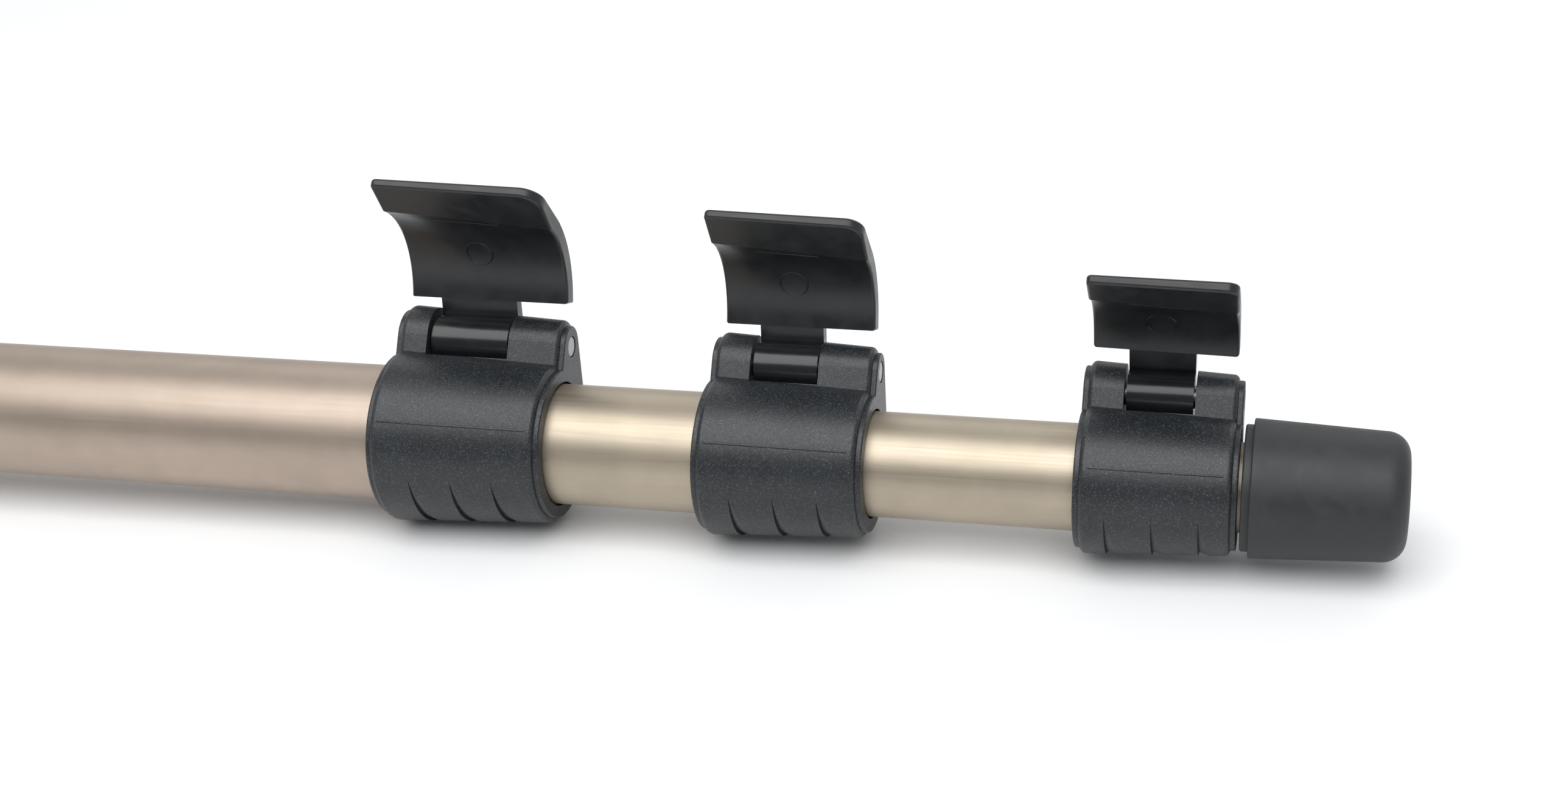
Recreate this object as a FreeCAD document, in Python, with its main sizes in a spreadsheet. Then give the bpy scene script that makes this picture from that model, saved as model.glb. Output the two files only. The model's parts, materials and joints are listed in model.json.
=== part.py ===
"""Four-section telescoping pole with lever locks, a threaded head and a rubber foot.

Frame, in millimetres: the origin is where the stud leaves the head pad, +X runs along the
pole to the foot, +Z is up and -Y is the side that the levers open towards.
"""
import FreeCAD, Part
import math
import os
import re
import Sketcher

Vector = FreeCAD.Vector
doc = FreeCAD.newDocument("pole")
sheet = doc.addObject("Spreadsheet::Sheet", "sizes")

# ---------------------------------------------------------------- driving sizes, mm and degrees
SIZES = {
    # tubes, largest first
    "tube_1_diameter": 27.0, "tube_2_diameter": 23.5, "tube_3_diameter": 20.0, "tube_4_diameter": 16.5,
    "tube_wall": 1.2,
    # where the first lock sits, and how much of each inner tube shows
    "lock_1_place": 375.5, "tube_2_shown": 30.05, "tube_3_shown": 38.75, "tube_4_shown": 0.6,
    "folded_gap": 0.5,       # bare tube left between two locks when the pole is pushed together
    "nesting_step": 2.0,     # each tube ends this far ahead of the one around it
    "folded_clearance": 2.5,  # from the head's spigot to the rearmost bush
    # locks
    "lock_tilt": 35.7,       # the hinges lean back from upright by this angle
    "collar_1_length": 34.5, "collar_2_length": 32.1, "collar_3_length": 29.0,
    "collar_1_wall": 2.9, "collar_2_wall": 3.05, "collar_3_wall": 3.3,
    # how much smaller a collar's far end is than its near end, on the radius
    "collar_1_lean": 1.71, "collar_2_lean": 1.59, "collar_3_lean": 1.44,
    "plate_thick": 1.0, "plate_inset": 1.0,
    "pin_1_offset": 5.7, "pin_2_offset": 5.75, "pin_3_offset": 6.0,
    "ear_1_radius": 5.9, "ear_2_radius": 5.4, "ear_3_radius": 5.2,
    "slot_1_width": 16.7, "slot_2_width": 13.2, "slot_3_width": 12.9,
    "slot_1_offset": 6.6, "slot_2_offset": 7.8, "slot_3_offset": 7.5,
    "edge_round": 1.1, "plate_round": 0.35,
    "notch_width": 2.4, "notch_pitch": 8.3, "notch_rise": 1.8, "notch_growth": 1.1, "notch_lead": 0.4,
    "notch_sweep": 150.0,
    # levers
    "lever_1_width": 33.4, "lever_2_width": 29.6, "lever_3_width": 26.4,
    "lever_1_open": 103.0, "lever_2_open": 105.0, "lever_3_open": 91.0,
    # closed lever: where its shell starts and ends, from the pin
    "arm_1_angle": 26.0, "arm_2_angle": 26.5, "arm_3_angle": 33.0, "lip_angle": 101.5,
    "lever_thick": 2.9, "lever_gap": 0.3, "lip_flare": 0.7, "lip_edge": 1.7,
    "tip_1_drop": 11.95, "tip_2_drop": 11.3, "tip_3_drop": 9.7,
    "near_corner": 1.0, "far_1_corner": 4.6, "far_2_corner": 3.6, "far_3_corner": 2.4,
    "lever_round": 0.6, "neck_overlap": 6.0, "neck_inner_angle": 14.0, "neck_outer_angle": 46.0,
    "barrel_1_radius": 5.0, "barrel_2_radius": 4.6, "barrel_3_radius": 4.4,
    "barrel_side_gap": 0.4, "barrel_gap": 0.5, "cam_throw": 0.25,
    # hinge pins
    "pin_radius": 2.1, "pin_recess": 0.12, "hinge_gap": 0.05,
    # brake shoes
    "shoe_travel": 0.3, "shoe_top_gap": 0.06, "shoe_grip_gap": 0.05, "shoe_side_gap": 0.2,
    "shoe_end_margin": 1.2, "shoe_1_width": 10.0, "shoe_2_width": 8.8, "shoe_3_width": 8.0,
    # bushes and fits
    "glue_gap": 0.03, "slide_gap": 0.08, "mouth_gap": 0.45, "mouth_wall": 1.5, "guide_length": 7.5,
    "stop_length": 25.0, "stop_end_wall": 1.5,
    # foot
    "foot_length": 29.0, "foot_start_wall": 4.55, "foot_end_wall": 3.35, "foot_round": 4.2,
    "foot_lip_length": 1.5, "foot_lip_step": 1.2, "foot_bore_depth": 23.0, "plug_length": 14.0,
    "plug_head": 1.5,
    # head
    "stud_radius": 4.7625, "stud_length": 12.0, "stud_depth": 12.0, "stud_chamfer": 0.8, "shank_radius": 4.0,
    "pad_inset": 1.5, "pad_thick": 2.0, "head_rim": 5.5, "head_thick": 8.0, "head_edge": 1.5,
    "sleeve_wall": 2.5, "sleeve_length": 15.0, "spigot_length": 12.0,
    "screw_radius": 2.0, "screw_place": 8.0,
    # grip
    "grip_length": 160.0, "grip_wall": 5.0, "grip_round": 3.0, "grip_clearance": 0.5,
    "ring_length": 5.0, "ring_wall": 3.9, "ring_round": 1.0,
}

for row, (alias, amount) in enumerate(SIZES.items(), start=1):
    sheet.set(f"A{row}", alias)
    sheet.set(f"B{row}", str(amount))
    sheet.setAlias(f"B{row}", alias)
doc.recompute()


# ---------------------------------------------------------------- expressions and sketches
def bound(text):
    """An expression on the sheet's aliases, written so that any object can hold it."""
    def prefixed(word):
        return f"sizes.{word[0]}" if word[0] in SIZES else word[0]
    return re.sub(r"[a-z][a-z_0-9]*", prefixed, text)


def number(text):
    """What such an expression is worth now, used as a first guess for sketches and places."""
    found = sheet.evalExpression(bound(text))
    return float(getattr(found, "Value", found))


def new_body(label, tilt=True, place="0"):
    """An empty body at `place` along the pole, leaning with the locks unless told otherwise."""
    body = doc.addObject("PartDesign::Body", label)
    body.Label = label
    angle = -number("lock_tilt") if tilt else 0.0
    turn = FreeCAD.Rotation(Vector(1, 0, 0), angle)
    body.Placement = FreeCAD.Placement(Vector(number(place), 0, 0), turn)
    body.setExpression("Placement.Base.x", bound(place))
    return body


def new_sketch(body, role, offset=None):
    """A sketch on one of the body's own origin planes, lifted off it by `offset`."""
    sketch = body.newObject("Sketcher::SketchObject", f"{body.Label}_sketch")
    plane = next(item for item in body.Origin.OriginFeatures if item.Role == role)
    sketch.AttachmentSupport = [(plane, "")]
    sketch.MapMode = "FlatFace"
    if offset:
        sketch.setExpression("AttachmentOffset.Base.z", bound(offset))
    return sketch


def constrain(sketch, kind, *items, size=None):
    """Add one constraint, bound to the sheet where it has a size."""
    if size is None:
        sketch.addConstraint(Sketcher.Constraint(kind, *items))
        return
    index = sketch.addConstraint(Sketcher.Constraint(kind, *items, number(size)))
    sketch.setExpression(f"Constraints[{index}]", bound(size))


def pin_point(sketch, shape, end, across, up):
    """Fix one point of the sketch at (across, up) from its origin."""
    if across == "0":
        constrain(sketch, "PointOnObject", shape, end, -2)
    else:
        constrain(sketch, "DistanceX", -1, 1, shape, end, size=across)
    if up == "0":
        constrain(sketch, "PointOnObject", shape, end, -1)
    else:
        constrain(sketch, "DistanceY", -1, 1, shape, end, size=up)


def polygon(sketch, corners):
    """Straight-sided outline through corners given as pairs of expressions."""
    points = [Vector(number(across), number(up), 0) for across, up in corners]
    count = len(points)
    for index in range(count):
        sketch.addGeometry(Part.LineSegment(points[index], points[(index + 1) % count]))
    for index in range(count):
        sketch.addConstraint(Sketcher.Constraint("Coincident", index, 2, (index + 1) % count, 1))
    for index, (across, up) in enumerate(corners):
        pin_point(sketch, index, 1, across, up)


def circle(sketch, radius, up="0"):
    """A circle centred `up` above the sketch's origin."""
    centre = Vector(0, number(up), 0)
    index = sketch.addGeometry(Part.Circle(centre, Vector(0, 0, 1), number(radius)))
    constrain(sketch, "Radius", index, size=radius)
    pin_point(sketch, index, 3, "0", up)


def arc(radius, centre_up, start, end):
    """An arc about a point on the sketch's upright axis, between two angles in radians."""
    whole = Part.Circle(Vector(0, centre_up, 0), Vector(0, 0, 1), radius)
    return Part.ArcOfCircle(whole, start, end)


# ---------------------------------------------------------------- features
def pad(body, sketch, length, both_ways=False):
    """Raise a sketch along its normal."""
    feature = body.newObject("PartDesign::Pad", f"{body.Label}_pad")
    feature.Profile = sketch
    feature.setExpression("Length", bound(length))
    feature.Midplane = both_ways
    doc.recompute()
    return feature


def pocket(body, sketch, length, both_ways=False):
    """Cut a sketch along its normal, and make sure that something was cut."""
    before = body.Shape.Volume
    feature = body.newObject("PartDesign::Pocket", f"{body.Label}_pocket")
    feature.Profile = sketch
    feature.Reversed = not both_ways
    feature.Midplane = both_ways
    feature.setExpression("Length", bound(length))
    doc.recompute()
    if body.Shape.Volume > before - 0.01:
        raise RuntimeError(f"a cut in {body.Label} missed the solid")
    return feature


def turned(label, corners, tilt=True, place="0"):
    """A body of revolution about the pole's axis, from (along, out) corners."""
    body = new_body(label, tilt, place)
    sketch = new_sketch(body, "XZ_Plane")
    polygon(sketch, corners)
    feature = body.newObject("PartDesign::Revolution", f"{label}_turned")
    feature.Profile = sketch
    feature.ReferenceAxis = (sketch, ["H_Axis"])
    feature.Angle = 360
    doc.recompute()
    return body


def round_edges(body, radius, chosen):
    """Round the edges of the body that `chosen` accepts."""
    base = body.Tip
    names = [f"Edge{index}" for index, edge in enumerate(base.Shape.Edges, start=1) if chosen(edge)]
    feature = body.newObject("PartDesign::Fillet", f"{body.Label}_fillet")
    feature.Base = (base, names)
    feature.setExpression("Radius", bound(radius))
    doc.recompute()


def lies_at(place):
    """Accept edges that lie in the plane `place` along the body's own X."""
    level = number(place)
    return lambda edge: all(abs(point.x - level) < 0.01 for point in edge.discretize(5))


def circle_at(place, radius):
    """Accept the full circle of this radius at this place."""
    level, size = number(place), number(radius)

    def chosen(edge):
        box = edge.BoundBox
        return abs(box.XMin - level) < 0.01 and box.XLength < 0.01 and abs(box.ZMax - size) < 0.01
    return chosen


# ---------------------------------------------------------------- tubes
TUBES = (1, 2, 3, 4)
LOCKS = (1, 2, 3)
lock_place = {1: "lock_1_place"}
for lock in (2, 3):
    lock_place[lock] = f"{lock_place[lock - 1]} + collar_{lock - 1}_length + tube_{lock}_shown"
foot_place = f"{lock_place[3]} + collar_3_length + tube_4_shown"

head_end = "pad_thick + head_thick"
tube_start = {1: head_end}
tube_start[2] = f"{head_end} + spigot_length + folded_clearance + stop_end_wall + tube_2_shown - folded_gap"
for tube in (3, 4):
    tube_start[tube] = f"{tube_start[tube - 1]} + nesting_step + tube_{tube}_shown - folded_gap"


def tube_radius(tube):
    return f"tube_{tube}_diameter / 2"


def bore_radius(tube):
    return f"(tube_{tube}_diameter / 2 - tube_wall)"


def tube_length(tube):
    """A tube runs into its own collar as far as the guide bush, and the last one into the foot."""
    if tube == 4:
        return f"{foot_place} + foot_bore_depth - plug_head - ({tube_start[4]})"
    inside = f"collar_{tube}_length - mouth_wall - guide_length"
    return f"{lock_place[tube]} + {inside} - ({tube_start[tube]})"


def shoe_length(lock):
    return f"(slot_{lock}_width - 2 * shoe_end_margin)"


def cut_shoe_window(body, lock, start, depth):
    """The brake shoe's opening, cut upwards from the axis plane, `start` along the body."""
    sketch = new_sketch(body, "XY_Plane")
    near = f"{start} + slot_{lock}_offset + shoe_end_margin - shoe_side_gap"
    far = f"{near} + {shoe_length(lock)} + 2 * shoe_side_gap"
    half = f"(shoe_{lock}_width / 2 + shoe_side_gap)"
    polygon(sketch, [(near, f"-{half}"), (far, f"-{half}"), (far, half), (near, half)])
    pocket(body, sketch, depth)


def make_tube(tube):
    """Drawn aluminium tube, with a window under its lock's cam except on the thinnest one."""
    body = new_body(f"tube_{tube}", place=tube_start[tube])
    sketch = new_sketch(body, "YZ_Plane")
    circle(sketch, tube_radius(tube))
    circle(sketch, bore_radius(tube))
    pad(body, sketch, tube_length(tube))
    if tube in LOCKS:
        cut_shoe_window(body, tube, f"{lock_place[tube]} - ({tube_start[tube]})", tube_radius(tube))
    return body


# ---------------------------------------------------------------- collars
def pin_height(lock):
    return f"(tube_{lock}_diameter / 2 + pin_{lock}_offset)"


def collar_taper(lock, along):
    """How much a collar's outside has grown or shrunk at `along`, against its middle."""
    return f"collar_{lock}_lean * (1 / 2 - ({along}) / collar_{lock}_length)"


def ring_radius(lock, along):
    return f"(tube_{lock}_diameter / 2 + collar_{lock}_wall + {collar_taper(lock, along)})"


def ear_radius(lock, along):
    return f"(ear_{lock}_radius + {collar_taper(lock, along)})"


def slot_floor(lock):
    """Height of the slot's floor: where the ears' front flats meet the ring."""
    ring = ring_radius(lock, f"slot_{lock}_offset + slot_{lock}_width / 2")
    ear = ear_radius(lock, f"slot_{lock}_offset + slot_{lock}_width / 2")
    return f"sqrt({ring} ^ 2 - {ear} ^ 2)"


def collar_outline(sketch, ring, ear, pin):
    """Ring and hinge ear in one outline: round at the pin, tangent behind, flat in front."""
    ring_now, ear_now, pin_now = number(ring), number(ear), number(pin)
    lean = math.asin((ring_now - ear_now) / pin_now)
    outward = Vector(math.cos(lean), math.sin(lean), 0)
    back_low = outward * ring_now
    back_high = Vector(0, pin_now, 0) + outward * ear_now
    flat_high = Vector(-ear_now, pin_now, 0)
    flat_low = Vector(-ear_now, math.sqrt(ring_now ** 2 - ear_now ** 2), 0)
    sketch.addGeometry(arc(ring_now, 0, math.atan2(flat_low.y, flat_low.x), lean + 2 * math.pi))
    sketch.addGeometry(Part.LineSegment(back_low, back_high))
    sketch.addGeometry(arc(ear_now, pin_now, lean, math.pi))
    sketch.addGeometry(Part.LineSegment(flat_high, flat_low))
    constrain(sketch, "Coincident", 0, 3, -1, 1)
    constrain(sketch, "Radius", 0, size=ring)
    constrain(sketch, "Radius", 2, size=ear)
    pin_point(sketch, 2, 3, "0", pin)
    constrain(sketch, "Tangent", 0, 2, 1, 1)
    constrain(sketch, "Tangent", 1, 2, 2, 1)
    constrain(sketch, "Tangent", 2, 2, 3, 1)
    constrain(sketch, "Vertical", 3)
    constrain(sketch, "Coincident", 3, 2, 0, 1)


def tapered(body, lock, radius, up):
    """One round part of the collar's outside: a cone between its two ends, `up` above the axis."""
    ends = ("plate_thick", f"collar_{lock}_length - plate_thick")
    cone = body.newObject("PartDesign::AdditiveCone", f"{body.Label}_cone")
    plane = next(item for item in body.Origin.OriginFeatures if item.Role == "YZ_Plane")
    cone.AttachmentSupport = [(plane, "")]
    cone.MapMode = "FlatFace"
    cone.setExpression("AttachmentOffset.Base.y", bound(up))
    cone.setExpression("AttachmentOffset.Base.z", bound(ends[0]))
    cone.setExpression("Radius1", bound(radius(lock, ends[0])))
    cone.setExpression("Radius2", bound(radius(lock, ends[1])))
    cone.setExpression("Height", bound(f"{ends[1]} - {ends[0]}"))
    doc.recompute()


def ear_web(body, lock):
    """The straight web that joins ring and ear: tangent behind, flat in front."""
    webs = []
    for along in ("plate_thick", f"collar_{lock}_length - plate_thick"):
        ring, ear, pin = ring_radius(lock, along), ear_radius(lock, along), pin_height(lock)
        lean = f"asin(({ring} - {ear}) / {pin})"
        sketch = new_sketch(body, "YZ_Plane", along)
        polygon(sketch, [
            (f"0 - {ear}", f"{pin} / 2"),
            (f"{ring} * cos({lean})", f"{ring} * sin({lean})"),
            (f"{ear} * cos({lean})", f"{pin} + {ear} * sin({lean})"),
            (f"0 - {ear}", pin),
        ])
        webs.append(sketch)
    loft = body.newObject("PartDesign::AdditiveLoft", f"{body.Label}_web")
    loft.Profile = webs[0]
    loft.Sections = [webs[1]]
    loft.Ruled = True
    doc.recompute()


def collar_block(body, lock):
    """The drafted outside of a collar, with its end edges rounded."""
    tapered(body, lock, ring_radius, "0")
    tapered(body, lock, ear_radius, pin_height(lock))
    ear_web(body, lock)
    ends = ("plate_thick", f"collar_{lock}_length - plate_thick")
    round_edges(body, "edge_round", lambda edge: any(lies_at(along)(edge) for along in ends))


def collar_plate(body, lock, along, start):
    """The slightly smaller plate that stands proud of a collar's end."""
    sketch = new_sketch(body, "YZ_Plane", start)
    ring = f"({ring_radius(lock, along)} - plate_inset)"
    ear = f"({ear_radius(lock, along)} - plate_inset)"
    collar_outline(sketch, ring, ear, pin_height(lock))
    pad(body, sketch, "plate_thick * 2")


def cut_collar_bores(body, lock):
    """Seat of the outer tube and guide bush, the narrower mouth, and the pin's hole."""
    seat = new_sketch(body, "YZ_Plane")
    circle(seat, f"{tube_radius(lock)} + glue_gap")
    pocket(body, seat, f"collar_{lock}_length - mouth_wall")
    mouth = new_sketch(body, "YZ_Plane")
    circle(mouth, f"{tube_radius(lock + 1)} + mouth_gap")
    pocket(body, mouth, f"collar_{lock}_length")
    hole = new_sketch(body, "YZ_Plane")
    circle(hole, "pin_radius", pin_height(lock))
    pocket(body, hole, f"collar_{lock}_length")


def cut_collar_slot(body, lock):
    """The slot between the ears, with a round trough for the lever's barrel."""
    near = f"slot_{lock}_offset"
    far = f"slot_{lock}_offset + slot_{lock}_width"
    top = f"({pin_height(lock)} + 2 * ear_{lock}_radius)"
    slot = new_sketch(body, "XZ_Plane")
    polygon(slot, [(near, slot_floor(lock)), (far, slot_floor(lock)), (far, top), (near, top)])
    pocket(body, slot, f"4 * ear_{lock}_radius", both_ways=True)
    trough = new_sketch(body, "YZ_Plane", near)
    circle(trough, f"barrel_{lock}_radius + barrel_gap", pin_height(lock))
    pocket(body, trough, f"slot_{lock}_width")
    cut_shoe_window(body, lock, "0", pin_height(lock))


def cut_notch(body, lock, along):
    """One finger notch across the underside: a steep wall, then a floor that rises to the surface."""
    floor = f"({ring_radius(lock, along)} + notch_growth)"
    faded = f"({floor} + notch_rise - notch_growth)"
    outside = f"({faded} + notch_rise)"
    far = f"{along} + notch_width"
    sketch = new_sketch(body, "XZ_Plane")
    sketch.setExpression("AttachmentOffset.Base.y", bound("notch_rise"))
    polygon(sketch, [
        (along, f"0 - {floor}"), (far, f"0 - {faded}"), (far, f"0 - {outside}"), (along, f"0 - {outside}"),
    ])
    groove = body.newObject("PartDesign::Groove", f"{body.Label}_notch")
    groove.Profile = sketch
    groove.ReferenceAxis = (sketch, ["H_Axis"])
    groove.Midplane = True
    groove.setExpression("Angle", bound("notch_sweep"))
    doc.recompute()


def make_collar(lock):
    """Moulded nylon collar: tapered ring, two hinge ears, end plates and finger notches."""
    body = new_body(f"collar_{lock}", place=lock_place[lock])
    length = f"collar_{lock}_length"
    collar_block(body, lock)
    for step in (-1, 0, 1):
        middle = f"{length} / 2 + {step} * notch_pitch" if step >= 0 else f"{length} / 2 - notch_pitch"
        cut_notch(body, lock, f"{middle} - notch_lead")
    collar_plate(body, lock, "plate_thick", "0")
    collar_plate(body, lock, f"{length} - plate_thick", f"{length} - 2 * plate_thick")
    round_edges(body, "plate_round", lambda edge: lies_at("0")(edge) or lies_at(length)(edge))
    cut_collar_bores(body, lock)
    cut_collar_slot(body, lock)
    return body


# ---------------------------------------------------------------- levers
def barrel_height(lock):
    return f"({pin_height(lock)} - cam_throw)"


def lever_start(lock):
    """The lever is centred on its collar."""
    return f"((collar_{lock}_length - lever_{lock}_width) / 2)"


def lever_ends(lock):
    return (lever_start(lock), f"({lever_start(lock)} + lever_{lock}_width)")


def lever_inside(lock, along):
    """Radius of the closed lever's inner face, which follows the collar's taper."""
    return f"({ring_radius(lock, along)} + lever_gap)"


def tip_drop(lock, along):
    """How far below the axis the closed lever's tip hangs: its edge leans as the collar does."""
    return f"(tip_{lock}_drop + {collar_taper(lock, along)})"


def lever_profile(sketch, lock):
    """Closed lever in section: round outside, then straight down to the lip's tip."""
    middle = lever_inside(lock, f"collar_{lock}_length / 2")
    outer = f"({middle} + lever_thick)"
    tip = f"(0 - {tip_drop(lock, lever_ends(lock)[0])})"
    tip_out, tip_in = f"(0 - {outer} - lip_flare)", f"(0 - {outer} - lip_flare + lip_edge)"
    root_out, root_up = f"(0 - {middle} * sin(lip_angle))", f"({middle} * cos(lip_angle))"
    arm_angle = f"arm_{lock}_angle"
    corners = [
        (tip_out, tip), (tip_in, tip),
        # the outline runs on past the lip's root, inside the space that the collar's cone takes away
        (f"{root_out} + ({root_out} - {tip_in}) / 2", f"{root_up} + ({root_up} - {tip}) / 2"),
        (f"0 - {tube_radius(lock)} * sin({arm_angle})", f"{tube_radius(lock)} * cos({arm_angle})"),
    ]
    outer_now, arm = number(outer), math.radians(90 + number(arm_angle))
    sketch.addGeometry(arc(outer_now, 0, arm, math.pi))
    first, last = Vector(-outer_now, 0, 0), Vector(outer_now * math.cos(arm), outer_now * math.sin(arm), 0)
    points = [first] + [Vector(number(across), number(up), 0) for across, up in corners] + [last]
    for start, end in zip(points, points[1:]):
        sketch.addGeometry(Part.LineSegment(start, end))
    constrain(sketch, "Coincident", 0, 3, -1, 1)
    constrain(sketch, "Radius", 0, size=outer)
    constrain(sketch, "Coincident", 0, 2, 1, 1)
    constrain(sketch, "PointOnObject", 0, 2, -1)
    for index, (across, up) in enumerate(corners, start=2):
        constrain(sketch, "Coincident", index - 1, 2, index, 1)
        pin_point(sketch, index, 1, across, up)
    constrain(sketch, "Coincident", len(corners) + 1, 2, 0, 1)
    constrain(sketch, "DistanceY", -1, 1, 0, 1, size=f"{outer} * cos({arm_angle})")


def hollow_lever(body, lock):
    """Cut the lever's inner face to the collar's own taper, a running gap larger."""
    near, far = "0", f"collar_{lock}_length"
    cone = body.newObject("PartDesign::SubtractiveCone", f"{body.Label}_inside")
    plane = next(item for item in body.Origin.OriginFeatures if item.Role == "YZ_Plane")
    cone.AttachmentSupport = [(plane, "")]
    cone.MapMode = "FlatFace"
    cone.setExpression("Radius1", bound(lever_inside(lock, near)))
    cone.setExpression("Radius2", bound(lever_inside(lock, far)))
    cone.setExpression("Height", bound(far))
    doc.recompute()


def trim_tip(body, lock):
    """Trim the tip's edge to the collar's taper, from one end of the lever to the other."""
    near, far = (f"({end} {sign} lever_thick)" for end, sign in zip(lever_ends(lock), "-+"))
    below = f"(0 - {tip_drop(lock, near)} - lever_thick)"
    sketch = new_sketch(body, "XZ_Plane")
    polygon(sketch, [
        (near, f"0 - {tip_drop(lock, near)}"), (far, f"0 - {tip_drop(lock, far)}"),
        (far, below), (near, below),
    ])
    pocket(body, sketch, f"4 * tube_{lock}_diameter", both_ways=True)


def lever_shell(body, lock):
    """Arms, shell and lip, with the lip's corners and the rim rounded."""
    ends = lever_ends(lock)
    sketch = new_sketch(body, "YZ_Plane", ends[0])
    lever_profile(sketch, lock)
    pad(body, sketch, f"lever_{lock}_width")
    hollow_lever(body, lock)
    trim_tip(body, lock)
    tip_level = -number(tip_drop(lock, ends[1]))

    def at_tip(edge):
        return edge.BoundBox.ZMax < tip_level + 0.01

    def at_end(edge):
        return any(lies_at(along)(edge) for along in ends)
    for end, corner in zip(ends, ("near_corner", f"far_{lock}_corner")):
        round_edges(body, corner, lambda edge: at_tip(edge) and lies_at(end)(edge))
    round_edges(body, "lever_round", lambda edge: at_tip(edge) or at_end(edge))


def lever_neck(body, lock):
    """The narrow stem between the ears, from the arms to the barrel."""
    barrel, height = f"barrel_{lock}_radius", barrel_height(lock)
    near = f"slot_{lock}_offset + barrel_side_gap"
    inner = lever_inside(lock, near)
    outer = f"({lever_inside(lock, f'collar_{lock}_length / 2')} + lever_thick)"
    arm, root = f"(arm_{lock}_angle)", f"(arm_{lock}_angle + neck_overlap)"
    sketch = new_sketch(body, "YZ_Plane", near)
    polygon(sketch, [
        (f"0 - {inner} * sin{root}", f"{inner} * cos{root}"),
        (f"0 - {inner} * sin{arm}", f"{inner} * cos{arm}"),
        (f"0 - {barrel} * cos(neck_inner_angle)", f"{height} - {barrel} * sin(neck_inner_angle)"),
        (f"0 - {barrel} / 2", height),
        (f"0 - {barrel} * cos(neck_outer_angle)", f"{height} + {barrel} * sin(neck_outer_angle)"),
        (f"0 - {outer} * sin{arm}", f"{outer} * cos{arm}"),
        (f"0 - {outer} * sin{root}", f"{outer} * cos{root}"),
    ])
    pad(body, sketch, f"slot_{lock}_width - 2 * barrel_side_gap")


def lever_barrel(body, lock):
    """The cam: a barrel set off from its pin, so that closing it pushes the brake shoe in."""
    near = f"slot_{lock}_offset + barrel_side_gap"
    width = f"slot_{lock}_width - 2 * barrel_side_gap"
    barrel = new_sketch(body, "YZ_Plane", near)
    circle(barrel, f"barrel_{lock}_radius", barrel_height(lock))
    pad(body, barrel, width)
    hole = new_sketch(body, "YZ_Plane")
    circle(hole, "pin_radius + hinge_gap", pin_height(lock))
    pocket(body, hole, f"collar_{lock}_length")


def make_lever(lock):
    """Flip lever, drawn closed round its collar and then swung open about its pin."""
    body = new_body(f"lever_{lock}", place=lock_place[lock])
    lever_shell(body, lock)
    lever_neck(body, lock)
    lever_barrel(body, lock)
    tilt = FreeCAD.Rotation(Vector(1, 0, 0), -number("lock_tilt"))
    opened = FreeCAD.Rotation(Vector(1, 0, 0), -number(f"lever_{lock}_open"))
    pin = Vector(0, 0, number(pin_height(lock)))
    swing = FreeCAD.Placement(Vector(0, 0, 0), opened, pin)
    place = FreeCAD.Placement(Vector(number(lock_place[lock]), 0, 0), tilt)
    body.Placement = place.multiply(swing)
    return body


# ---------------------------------------------------------------- hinge pins, shoes, bushes
def make_hinge_pin(lock):
    """Steel pin pressed through both ears, its ends a little below the plates."""
    body = new_body(f"hinge_pin_{lock}", place=lock_place[lock])
    sketch = new_sketch(body, "YZ_Plane", "pin_recess")
    circle(sketch, "pin_radius", pin_height(lock))
    pad(body, sketch, f"collar_{lock}_length - 2 * pin_recess")
    ends = ("pin_recess", f"collar_{lock}_length - pin_recess")
    round_edges(body, "plate_round", lambda edge: any(lies_at(end)(edge) for end in ends))
    return body


def make_brake_shoe(lock):
    """Nylon block in the tube's window, hollowed below to the inner tube's curve."""
    body = new_body(f"brake_shoe_{lock}", place=lock_place[lock])
    half = f"shoe_{lock}_width / 2"
    top = f"({pin_height(lock)} - barrel_{lock}_radius - shoe_top_gap)"
    block = new_sketch(body, "YZ_Plane", f"slot_{lock}_offset + shoe_end_margin")
    low = f"{tube_radius(lock + 1)} / 2"
    polygon(block, [(f"0 - {half}", low), (half, low), (half, top), (f"0 - {half}", top)])
    pad(body, block, shoe_length(lock))
    hollow = new_sketch(body, "YZ_Plane")
    circle(hollow, f"{tube_radius(lock + 1)} + shoe_grip_gap", "shoe_travel")
    pocket(body, hollow, f"collar_{lock}_length")
    return body


def make_guide_bush(lock):
    """Ring in the collar's mouth that the next tube runs in."""
    start = f"collar_{lock}_length - mouth_wall - guide_length"
    body = new_body(f"guide_bush_{lock}", place=lock_place[lock])
    sketch = new_sketch(body, "YZ_Plane", start)
    circle(sketch, tube_radius(lock))
    circle(sketch, f"{tube_radius(lock + 1)} + slide_gap")
    pad(body, sketch, "guide_length")
    return body


def make_stop_bush(tube):
    """Sleeve on a tube's rear end: it runs in the tube around it and stops the tube pulling out."""
    outside = f"{bore_radius(tube - 1)} - slide_gap"
    inside = f"{tube_radius(tube)} + glue_gap"
    lip = bore_radius(tube)
    corners = [
        ("0 - stop_end_wall", lip), ("0 - stop_end_wall", outside), ("stop_length", outside),
        ("stop_length", inside), ("0", inside), ("0", lip),
    ]
    return turned(f"stop_bush_{tube}", corners, place=tube_start[tube])


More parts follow.
